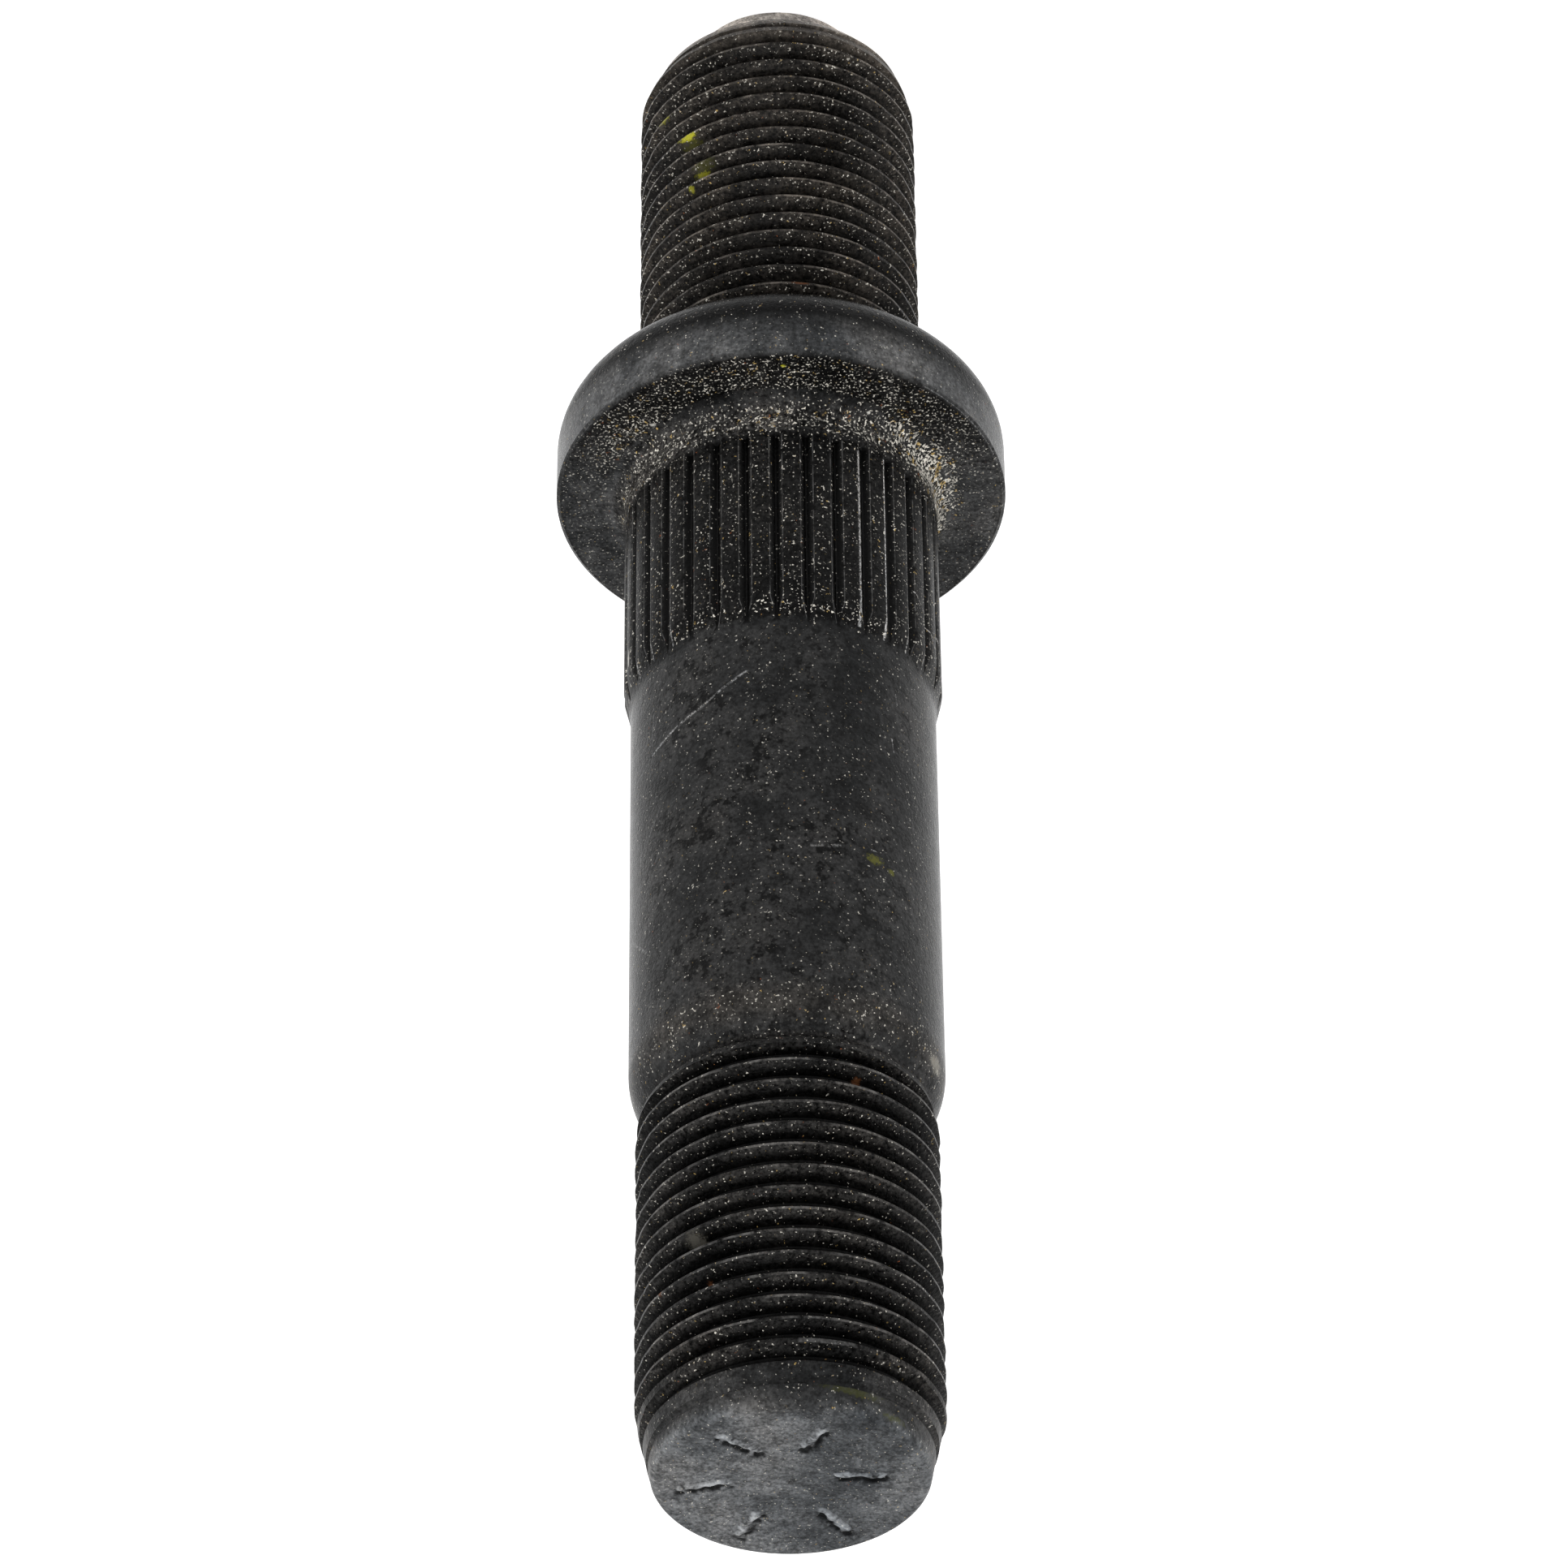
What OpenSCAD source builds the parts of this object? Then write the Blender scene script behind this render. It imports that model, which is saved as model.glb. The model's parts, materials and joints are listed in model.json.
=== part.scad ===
// Flanged, double-ended wheel stud for a heavy hub, one forged and rolled steel piece.
// Frame: origin on the axis at the plane of the flange's seat, +Z along the axis to the
// wheel end. The stud stands on the flat tip of its drum end. All lengths in millimetres.

/* [Threads] */
// Major diameter of both threads (3/4 inch)
thread_d = 19.05; // [15:0.05:23]
// Pitch of both threads (16 turns to the inch)
thread_pitch = 1.5875; // [1:0.0125:2.5]

/* [Wheel end] */
// Flange seat to the wheel end's face
wheel_reach = 77.6; // [64:0.1:110]
// Length of the wheel-end thread, from the face to the end of its run-out
wheel_thread_len = 27.2; // [16:0.1:34]
// How far the lead cone drops from the crest to the edge of the end face
wheel_lead_drop = 0.97; // [0.2:0.01:2.4]
// Length of the shallow lead cone that the thread fades out on
wheel_lead_len = 4.5; // [1:0.1:8]
// Rounding of the edge between the end face and the lead cone
wheel_edge_r = 0.45; // [0.1:0.05:1]

/* [Shank] */
// How much wider the plain shank is than the thread, for 19.94 mm (0.785 inch)
shank_step = 0.89; // [0.1:0.01:2]
// Radius of the shoulder between the thread's neck and the shank
shoulder_r = 5; // [2:0.1:10]

/* [Serrations] */
// How far the serrations stand out of the shank
serration_rise = 0.46; // [0.2:0.01:1.5]
// Number of serrations round the shank
serration_count = 32; // [16:1:40]
// Depth of the grooves between them
groove_depth = 0.37; // [0.1:0.01:0.45]
// Width of the flat bottom of a groove
groove_floor_w = 0.12; // [0.05:0.01:0.4]
// Included angle of a groove
groove_angle = 90; // [50:1:110]
// Flange seat to the end of the serrations at the wheel end
serration_reach = 16.8; // [8:0.1:24]
// Length of the taper that leads the serrations into the hub
serration_taper_len = 2; // [0.8:0.1:4]
// Angle from the frame's -Y to the nearest groove
groove_phase = 1.9; // [0:0.1:10]

/* [Flange] */
// Diameter of the flange
flange_d = 30.06; // [27:0.02:44]
// Thickness of the flange
flange_t = 6.94; // [5:0.02:12]
// Break of the sharp edge round the seat
seat_edge = 0.25; // [0.1:0.05:1]
// Radius of the forged edge on the flange's back
flange_back_r = 3.15; // [0.5:0.05:4]
// Radius of the fillet between the seat and the collar
seat_fillet_r = 1.3; // [0.4:0.05:1.6]
// Length of the plain collar between the seat and the serrations
collar_len = 2.75; // [1.7:0.05:5]

/* [Drum end] */
// Flange's back to the end of the thread's full crest at the tip
drum_crest_end = 27.46; // [16:0.02:36]
// Length of the plain neck between the flange's back and the thread
drum_neck_len = 1.9; // [1.2:0.1:4]
// Radius of the fillet between the neck and the flange's back
drum_fillet_r = 0.8; // [0.2:0.05:1.1]
// How far the lead cone drops from the crest to its small end
drum_lead_drop = 0.775; // [0.2:0.005:1.2]
// Length of the lead cone
drum_lead_len = 2.1; // [1:0.1:5]
// Length of the steep shoulder between the lead cone and the pilot
drum_shoulder_len = 1.55; // [0.5:0.05:4]
// Diameter of the pilot tip at its root
pilot_root_d = 12.7; // [9:0.1:14]
// Diameter of the pilot tip at its flat end
pilot_end_d = 12.1; // [8:0.1:13]
// Length of the pilot tip
pilot_len = 1.85; // [0.8:0.05:6]
// Rounding of the pilot's flat end
pilot_edge_r = 0.3; // [0.1:0.05:0.8]

/* [Hidden] */

// Number of straight steps that a quarter of an arc is drawn with in the turned profile
quarter_steps = 8;
turned_fn = 96;
thread_r = thread_d / 2;
// A rolled thread starts from a blank of about the pitch diameter, which shows at the necks
blank_r = thread_r - 0.3248 * thread_pitch;
shank_r = thread_r + shank_step / 2;
serration_r = shank_r + serration_rise;
// The run-out, where the crest sinks into the neck, is a little over one turn long
runout_len = 1.13 * thread_pitch;
// Length of the shoulder's arc, which is tangent to the shank and starts at the neck
shoulder_rise = shank_r - blank_r;
shoulder_len = sqrt(2 * shoulder_r * shoulder_rise - shoulder_rise * shoulder_rise);
flange_back_z = -flange_t;
wheel_neck_z = wheel_reach - wheel_thread_len;
drum_thread_end_z = flange_back_z - drum_crest_end;
drum_lead_end_z = drum_thread_end_z - drum_lead_len;
pilot_root_z = drum_lead_end_z - drum_shoulder_len;
tip_z = pilot_root_z - pilot_len;

// Points of an arc in the profile's plane, from one angle to another
function arc(centre, r, from_a, to_a) =
    [for (i = [0:quarter_steps])
        let (a = from_a + (to_a - from_a) * i / quarter_steps)
        centre + r * [cos(a), sin(a)]];

// End face, its rounded edge, the lead cone, the thread's crest and its run-out
function wheel_end_profile() =
    let (face_r = thread_r - wheel_lead_drop - wheel_edge_r)
    concat(
        [[0, wheel_reach]],
        arc([face_r, wheel_reach - wheel_edge_r], wheel_edge_r, 90, 0),
        [
            [thread_r, wheel_reach - wheel_lead_len],
            [thread_r, wheel_neck_z + runout_len],
            [blank_r, wheel_neck_z]
        ]
    );

// Arc from the neck up to the full shank, with its centre inside the shank
function shoulder_profile() =
    let (sweep = asin(shoulder_len / shoulder_r))
    [for (i = [0:quarter_steps])
        let (a = sweep * (1 - i / quarter_steps))
        [
            shank_r - shoulder_r * (1 - cos(a)),
            wheel_neck_z - shoulder_len + shoulder_r * sin(a)
        ]];

// Taper, crest of the serrations, collar and the fillet down to the seat
function serration_profile() =
    concat(
        [
            [shank_r, serration_reach + serration_taper_len],
            [serration_r, serration_reach],
            [serration_r, seat_fillet_r]
        ],
        arc([serration_r + seat_fillet_r, seat_fillet_r], seat_fillet_r, 180, 270)
    );

// Seat, rim and the rounded back edge
function flange_profile() =
    let (rim_r = flange_d / 2)
    concat(
        [
            [rim_r - seat_edge, 0],
            [rim_r, -seat_edge]
        ],
        arc([rim_r - flange_back_r, flange_back_z + flange_back_r], flange_back_r, 0, -90)
    );

// Fillet, neck, thread, lead cone, shoulder and pilot tip
function drum_end_profile() =
    let (pilot_end_r = pilot_end_d / 2)
    concat(
        arc([blank_r + drum_fillet_r, flange_back_z - drum_fillet_r], drum_fillet_r, 90, 180),
        [
            [blank_r, flange_back_z - drum_neck_len],
            [thread_r, flange_back_z - drum_neck_len - runout_len],
            [thread_r, drum_thread_end_z],
            [thread_r - drum_lead_drop, drum_lead_end_z],
            [pilot_root_d / 2, pilot_root_z]
        ],
        arc([pilot_end_r - pilot_edge_r, tip_z + pilot_edge_r], pilot_edge_r, 0, -90),
        [[0, tip_z]]
    );

// The turned and forged body, without its serrations
module blank() {
    rotate_extrude($fn = turned_fn)
        polygon(concat(
            wheel_end_profile(),
            shoulder_profile(),
            serration_profile(),
            flange_profile(),
            drum_end_profile()
        ));
}

// One rolled groove, pointing along +X, open at the taper and closed at the collar
module groove() {
    floor_r = serration_r - groove_depth;
    reach = 2 * groove_depth;
    half_floor = groove_floor_w / 2;
    half_mouth = half_floor + reach * tan(groove_angle / 2);
    translate([0, 0, collar_len])
        linear_extrude(serration_reach + serration_taper_len - collar_len)
            polygon([
                [floor_r, -half_floor],
                [floor_r + reach, -half_mouth],
                [floor_r + reach, half_mouth],
                [floor_r, half_floor]
            ]);
}

module wheel_stud() {
    color([0.16, 0.16, 0.17])
        difference() {
            blank();
            for (i = [0:serration_count - 1])
                rotate([0, 0, -90 + groove_phase + i * 360 / serration_count])
                    groove();
        }
}

wheel_stud();
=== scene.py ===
"""Looks of a double-ended wheel stud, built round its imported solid.

The stud is one closed surface: turned stretches, two rolled threads and a band of rolled
serrations share the same columns round the axis, so their edges meet point for point.
Sizes in the classes are millimetres; meshes and lamps are in metres.
"""

from __future__ import annotations

import json
import logging
import math
from collections.abc import Iterable
from dataclasses import astuple, dataclass, field
from enum import Enum
from functools import reduce
from types import SimpleNamespace

import bmesh
import bpy
from bpy.types import ID, Material, Node, NodeSocket, NodeTree, Object, World
from mathutils import Euler, Matrix, Vector, noise


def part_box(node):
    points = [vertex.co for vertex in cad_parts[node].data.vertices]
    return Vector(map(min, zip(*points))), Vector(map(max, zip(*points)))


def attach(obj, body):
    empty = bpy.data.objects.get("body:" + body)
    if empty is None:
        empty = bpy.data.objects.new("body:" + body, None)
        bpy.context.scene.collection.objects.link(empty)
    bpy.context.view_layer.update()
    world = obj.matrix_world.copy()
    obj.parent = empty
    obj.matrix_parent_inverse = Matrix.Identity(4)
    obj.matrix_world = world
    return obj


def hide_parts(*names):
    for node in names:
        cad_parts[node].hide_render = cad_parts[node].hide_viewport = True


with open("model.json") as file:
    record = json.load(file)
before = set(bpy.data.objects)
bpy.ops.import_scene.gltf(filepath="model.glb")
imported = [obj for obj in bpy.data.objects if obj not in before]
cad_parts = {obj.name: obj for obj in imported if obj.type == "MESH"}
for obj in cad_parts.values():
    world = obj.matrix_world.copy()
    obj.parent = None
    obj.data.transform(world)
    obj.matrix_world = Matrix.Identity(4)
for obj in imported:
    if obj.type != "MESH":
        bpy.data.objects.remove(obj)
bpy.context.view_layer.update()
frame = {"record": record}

MM = 0.001
TURN = 2.0 * math.pi
NOISE_SEED = 7
STUD_NODE = "wheel_stud"
LOG = logging.getLogger("wheel_stud")


class Kind(Enum):
    """The two kinds of node tree that this script writes."""

    MESH = "GeometryNodeTree"
    SHADE = "ShaderNodeTree"


@dataclass(frozen=True)
class Num:
    """A number or vector inside a node tree, so that formulas read like formulas."""

    bench: Bench
    socket: NodeSocket

    def __add__(self, other: Value) -> Num:
        """Sum."""
        return self.bench.math("ADD", self, other)

    def __sub__(self, other: Value) -> Num:
        """Difference."""
        return self.bench.math("SUBTRACT", self, other)

    def __rsub__(self, other: float) -> Num:
        """Difference, from the right."""
        return self.bench.math("SUBTRACT", other, self)

    def __mul__(self, other: Value) -> Num:
        """Product."""
        return self.bench.math("MULTIPLY", self, other)

    def __truediv__(self, other: Value) -> Num:
        """Quotient."""
        return self.bench.math("DIVIDE", self, other)

    def __rtruediv__(self, other: float) -> Num:
        """Quotient, from the right."""
        return self.bench.math("DIVIDE", other, self)

    def size(self) -> Num:
        """The number without its sign."""
        return self.bench.math("ABSOLUTE", self)

    __radd__ = __add__


Value = Num | float


@dataclass
class Bench:
    """A node tree being written, with the inputs of a group as numbers in `given`."""

    NUDGE = 1e-4

    tree: NodeTree
    given: dict[str, Num] = field(default_factory=dict)

    @classmethod
    def group(cls, name: str, kind: Kind, inputs: dict[str, str], outputs: dict[str, str]) -> Bench:
        """Starts a node group with named inputs and outputs.

        Args:
            name: name of the group.
            kind: which kind of tree it is.
            inputs: input names, each with its kind of socket.
            outputs: output names, each with its kind of socket.

        Returns:
            The bench.
        """
        bench = cls(bpy.data.node_groups.new(name, kind.value))
        for in_out, sockets in (("INPUT", inputs), ("OUTPUT", outputs)):
            for label, socket in sockets.items():
                socket_type = f"NodeSocket{socket}"
                bench.tree.interface.new_socket(name=label, in_out=in_out, socket_type=socket_type)
        source = bench.add("NodeGroupInput")
        bench.given = {label: Num(bench, source.outputs[label]) for label in inputs}
        return bench

    @classmethod
    def cleared(cls, owner: Material | World) -> Bench:
        """Starts on the emptied tree of a material or a world.

        Args:
            owner: the material or world.

        Returns:
            The bench.
        """
        owner.use_nodes = True
        owner.node_tree.nodes.clear()
        return cls(owner.node_tree)

    def finish(self, **results: Value) -> NodeTree:
        """Joins results to the group's outputs.

        Args:
            results: the value for each output.

        Returns:
            The finished tree.
        """
        self.add("NodeGroupOutput", results)
        return self.tree

    def feed(self, socket: NodeSocket, value: object) -> None:
        """Links a number to a socket, or sets a constant on it.

        Args:
            socket: the input socket.
            value: a Num, or a plain value.
        """
        if isinstance(value, Num):
            self.tree.links.new(value.socket, socket)
        else:
            socket.default_value = int(value) if socket.type == "INT" else value

    def add(self, kind: str, inputs: dict | None = None, **settings: object) -> Node:
        """Adds a node.

        Args:
            kind: the node's type.
            inputs: values for its inputs, by name or place.
            settings: properties, which are set before the inputs.

        Returns:
            The new node.
        """
        node = self.tree.nodes.new(kind)
        for label, value in settings.items():
            setattr(node, label, value)
        for label, value in (inputs or {}).items():
            self.feed(node.inputs[label], value)
        return node

    def get(self, kind: str, inputs: dict | None = None, output: int | str = 0, **settings: object) -> Num:
        """One output of a new node, as a number."""
        return Num(self, self.add(kind, inputs, **settings).outputs[output])

    def math(self, operation: str, *values: Value) -> Num:
        """One sum, on up to three values."""
        return self.get("ShaderNodeMath", dict(enumerate(values)), operation=operation)

    def least(self, *values: Value) -> Num:
        """The smallest of several values."""
        return reduce(lambda one, two: self.math("MINIMUM", one, two), values)

    def most(self, *values: Value) -> Num:
        """The largest of several values."""
        return reduce(lambda one, two: self.math("MAXIMUM", one, two), values)

    def divide(self, index: Num, size: Value) -> tuple[Num, Num]:
        """Whole quotient and remainder of a whole number, nudged clear of rounding down."""
        whole = self.math("FLOOR", index / size + self.NUDGE)
        return whole, index - whole * size

    def ramp(self, value: Value, start: Value, end: Value, smooth: bool = False) -> Num:
        """Rises from 0 at start to 1 at end, and stays inside 0 to 1.

        Args:
            value: the number to grade.
            start: where the rise starts.
            end: where it ends; it may be below start.
            smooth: whether the ends are eased.

        Returns:
            The graded number.
        """
        course = "SMOOTHSTEP" if smooth else "LINEAR"
        inputs = {"Value": value, "From Min": start, "From Max": end}
        return self.get("ShaderNodeMapRange", inputs, clamp=True, interpolation_type=course)

    def pick(self, index: Num, *options: Value) -> Num:
        """The option that a whole number points at.

        Args:
            index: the whole number, counted from 0.
            options: what to choose from.

        Returns:
            The chosen number.
        """
        node = self.add("GeometryNodeIndexSwitch", data_type="FLOAT")
        while len(node.index_switch_items) < len(options):
            node.index_switch_items.new()
        self.feed(node.inputs["Index"], index)
        for place, option in enumerate(options):
            self.feed(node.inputs[str(place)], option)
        return Num(self, node.outputs[0])

    def vector(self, x: Value, y: Value, z: Value) -> Num:
        """Three numbers as one vector."""
        return self.get("ShaderNodeCombineXYZ", {"X": x, "Y": y, "Z": z})

    def parts(self, value: Num) -> tuple[Num, Num, Num]:
        """A vector's three numbers."""
        node = self.add("ShaderNodeSeparateXYZ", {0: value})
        return tuple(Num(self, node.outputs[axis]) for axis in "XYZ")

    def blend(self, share: Value, under: object, over: object) -> Num:
        """Lays one colour over another.

        Args:
            share: how much of the upper colour shows.
            under: the lower colour.
            over: the upper colour.

        Returns:
            The mixed colour.
        """
        node = self.add("ShaderNodeMix", {"Factor": share}, data_type="RGBA")
        for place, value in ((6, under), (7, over)):
            self.feed(node.inputs[place], value if isinstance(value, Num) else (*value, 1.0))
        return Num(self, node.outputs[2])

    def seen(self) -> Num:
        """1 for what the camera sees, also by gloss or through glass, and 0 for light on the stud."""
        rays = self.add("ShaderNodeLightPath").outputs
        kinds = ("Camera", "Glossy", "Transmission")
        return self.most(*(Num(self, rays[f"Is {kind} Ray"]) for kind in kinds))


def in_scene(name: str, data: ID) -> Object:
    """Makes an object and puts it in the scene.

    Args:
        name: its name.
        data: its mesh, lamp or camera.

    Returns:
        The object.
    """
    thing = bpy.data.objects.new(name, data)
    bpy.context.scene.collection.objects.link(thing)
    return thing


@dataclass(frozen=True)
class StudSizes:
    """Sizes of the stud in millimetres, with heights from the flange's seat.

    The frame gives the ends, the flange and each mount's wall. The rest repeats the solid.
    """

    top: float
    tip: float
    flange_r: float
    thread_r: float
    shank_r: float
    serration_r: float
    collar_end: float
    serration_end: float
    wheel_crest_top: float
    drum_crest_end: float
    pitch: float = 1.5875
    runout_turns: float = 1.13
    wheel_thread_len: float = 27.2
    wheel_lead_drop: float = 0.97
    wheel_edge_r: float = 0.6
    shoulder_r: float = 5.0
    taper_len: float = 2.0
    flange_t: float = 6.94
    seat_edge: float = 0.25
    flange_back_r: float = 3.15
    seat_fillet_r: float = 1.3
    drum_neck_len: float = 1.9
    drum_fillet_r: float = 0.8
    drum_lead_drop: float = 0.775
    drum_lead_len: float = 2.1
    drum_shoulder_len: float = 1.55
    pilot_root_r: float = 6.35
    pilot_end_r: float = 6.05
    pilot_edge_r: float = 0.3

    @classmethod
    def from_frame(cls, record: dict, box: tuple[Vector, Vector]) -> StudSizes:
        """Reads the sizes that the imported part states.

        Args:
            record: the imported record.
            box: lowest and highest corner of the stud's solid, in metres.

        Returns:
            The stud's sizes.
        """
        mounts = {mount["name"]: mount for mount in record["mounts"]}

        def wall(name: str) -> tuple[float, float, float]:
            """Radius, lowest and highest point of a mount's round wall, in millimetres."""
            middle, half = mounts[name]["pos_m"][2] / MM, mounts[name]["dims"]["length_mm"] / 2
            return mounts[name]["dims"]["r_mm"], middle - half, middle + half

        wheel_r, _, wheel_crest_top = wall("wheel_thread")
        shank_r, taper_top, _ = wall("shank")
        press = mounts["hub_press_fit"]["dims"]
        serration_end = taper_top - cls.taper_len
        return cls(
            top=box[1].z / MM,
            tip=box[0].z / MM,
            flange_r=box[1].x / MM,
            thread_r=wheel_r,
            shank_r=shank_r,
            serration_r=press["r_mm"],
            collar_end=serration_end - press["length_mm"],
            serration_end=serration_end,
            wheel_crest_top=wheel_crest_top,
            drum_crest_end=wall("drum_thread")[1],
        )

    @property
    def root_r(self) -> float:
        """Radius at the bottom of a thread groove, for an outside thread of this pitch."""
        return self.thread_r - 0.6134 * self.pitch

    @property
    def blank_r(self) -> float:
        """Radius of the bar before its thread was rolled, which shows at the necks."""
        return self.thread_r - 0.3248 * self.pitch

    @property
    def end_r(self) -> float:
        """Radius where the outer end of each thread band closes, just under the root."""
        return self.root_r - 0.01

    @property
    def wheel_neck(self) -> float:
        """Height of the neck under the wheel-end thread."""
        return self.top - self.wheel_thread_len

    @property
    def drum_neck(self) -> float:
        """Height of the neck over the drum-end thread."""
        return -self.flange_t - self.drum_neck_len

    @property
    def drum_slope(self) -> float:
        """Steepness of the shoulder between the drum-end thread and the pilot tip."""
        return (self.thread_r - self.drum_lead_drop - self.pilot_root_r) / self.drum_shoulder_len

    @property
    def drum_end(self) -> float:
        """Height where the drum-end thread's band closes, on the steep shoulder."""
        shoulder = (self.thread_r - self.drum_lead_drop - self.end_r) / self.drum_slope
        return self.drum_crest_end - self.drum_lead_len - shoulder

    @property
    def pilot_root(self) -> float:
        """Height of the pilot tip's root."""
        return self.drum_crest_end - self.drum_lead_len - self.drum_shoulder_len


@dataclass(frozen=True)
class Columns:
    """Columns of points round the axis: seven to a serration, closest at its groove.

    Every stretch of the stud uses the same columns, so neighbours meet point for point.
    """

    PER_TOOTH = 7

    teeth: int = 32
    groove_depth: float = 0.37
    floor_w: float = 0.12
    edge_w: float = 0.13
    nearest_groove_deg: float = -88.1

    @property
    def count(self) -> int:
        """Number of columns once round."""
        return self.teeth * self.PER_TOOTH

    def angles(self, crest_r: float) -> list[float]:
        """Angles of the columns, with the first one repeated at the end.

        Args:
            crest_r: radius over the serrations.

        Returns:
            Angles in radians, rising by one turn from first to last.
        """
        step = TURN / self.teeth
        floor_half = 0.5 * self.floor_w / crest_r
        mouth_half = floor_half + self.groove_depth / crest_r
        top = mouth_half + self.edge_w / crest_r
        places = [-floor_half, floor_half, mouth_half, top, step / 2, step - top, step - mouth_half]
        start = math.radians(self.nearest_groove_deg)
        rest = [start + tooth * step + place for tooth in range(self.teeth) for place in places]
        return rest + [rest[0] + TURN]

    def spokes(self, crest_r: float) -> Object:
        """Points on the unit circle, one for each column, with the share of a turn as height.

        Args:
            crest_r: radius over the serrations.

        Returns:
            A helper object that the mesh trees read.
        """
        angles = self.angles(crest_r)
        mesh = bpy.data.meshes.new("spokes")
        mesh.from_pydata([(math.cos(a), math.sin(a), (a - angles[0]) / TURN) for a in angles], [], [])
        return in_scene("spokes", mesh)


def band_bench(name: str, sizes: Iterable[str]) -> Bench:
    """Starts the mesh tree of a band, with an input for each of its sizes.

    Args:
        name: name of the tree.
        sizes: names of the sizes.

    Returns:
        The bench.
    """
    inputs = {"Spokes": "Object", "Columns": "Float", "Finish": "Material"}
    return Bench.group(name, Kind.MESH, inputs | dict.fromkeys(sizes, "Float"), {"Band": "Geometry"})


def band_grid(bench: Bench, rows: Value) -> tuple[Num, ...]:
    """Starts a band: a grid with one column for each spoke, still flat.

    Args:
        bench: the band's tree.
        rows: number of rows.

    Returns:
        The grid, the column number, the row number, and the column's direction and turn.
    """
    spokes = bench.get("GeometryNodeObjectInfo", {"Object": bench.given["Spokes"]}, "Geometry")
    counts = {"Vertices X": bench.given["Columns"] + 1.0, "Vertices Y": rows}
    grid = bench.get("GeometryNodeMeshGrid", counts, "Mesh")
    column, row = bench.divide(bench.get("GeometryNodeInputIndex"), rows)
    wanted = {"Geometry": spokes, "Value": bench.get("GeometryNodeInputPosition"), "Index": column}
    spoke = bench.get("GeometryNodeSampleIndex", wanted, data_type="FLOAT_VECTOR", domain="POINT")
    return grid, column, row, *bench.parts(spoke)


def close_band(bench: Bench, mesh: Num, place: Num, wear: Num, depth: Num) -> NodeTree:
    """Ends a band: puts its points in place and stores how worn and how deep each one is.

    Args:
        bench: the band's tree.
        mesh: the flat grid.
        place: where each point goes.
        wear: 1 on an edge that is rubbed bright, which on the serrations is also a painted highlight, 0
            where none is.
        depth: 0 at the outside, 1 at the bottom of a groove.

    Returns:
        The finished tree.
    """
    mesh = bench.get("GeometryNodeSetPosition", {"Geometry": mesh, "Position": place})
    for label, value in (("wear", wear), ("depth", depth)):
        stored = {"Geometry": mesh, "Name": label, "Value": value}
        mesh = bench.get("GeometryNodeStoreNamedAttribute", stored, data_type="FLOAT", domain="POINT")
    mesh = bench.get("GeometryNodeRealizeInstances", {"Geometry": mesh})
    mesh = bench.get("GeometryNodeSetMaterial", {"Geometry": mesh, "Material": bench.given["Finish"]})
    return bench.finish(Band=mesh)


def grow(tree: NodeTree, name: str, values: dict[str, object]) -> Object:
    """Runs a mesh tree once and keeps its result as a plain mesh.

    Args:
        tree: the tree.
        name: name of the new object.
        values: value for each named input.

    Returns:
        An object with a plain mesh and no modifier.
    """
    piece = in_scene(name, bpy.data.meshes.new(name))
    modifier = piece.modifiers.new("grow", "NODES")
    modifier.node_group = tree
    for item in tree.interface.items_tree:
        if item.in_out == "INPUT":
            modifier[item.identifier] = values[item.name]
    piece.update_tag()
    ready = piece.evaluated_get(bpy.context.evaluated_depsgraph_get())
    mesh = bpy.data.meshes.new_from_object(ready)
    piece.modifiers.clear()
    piece.data = mesh
    return piece


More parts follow.
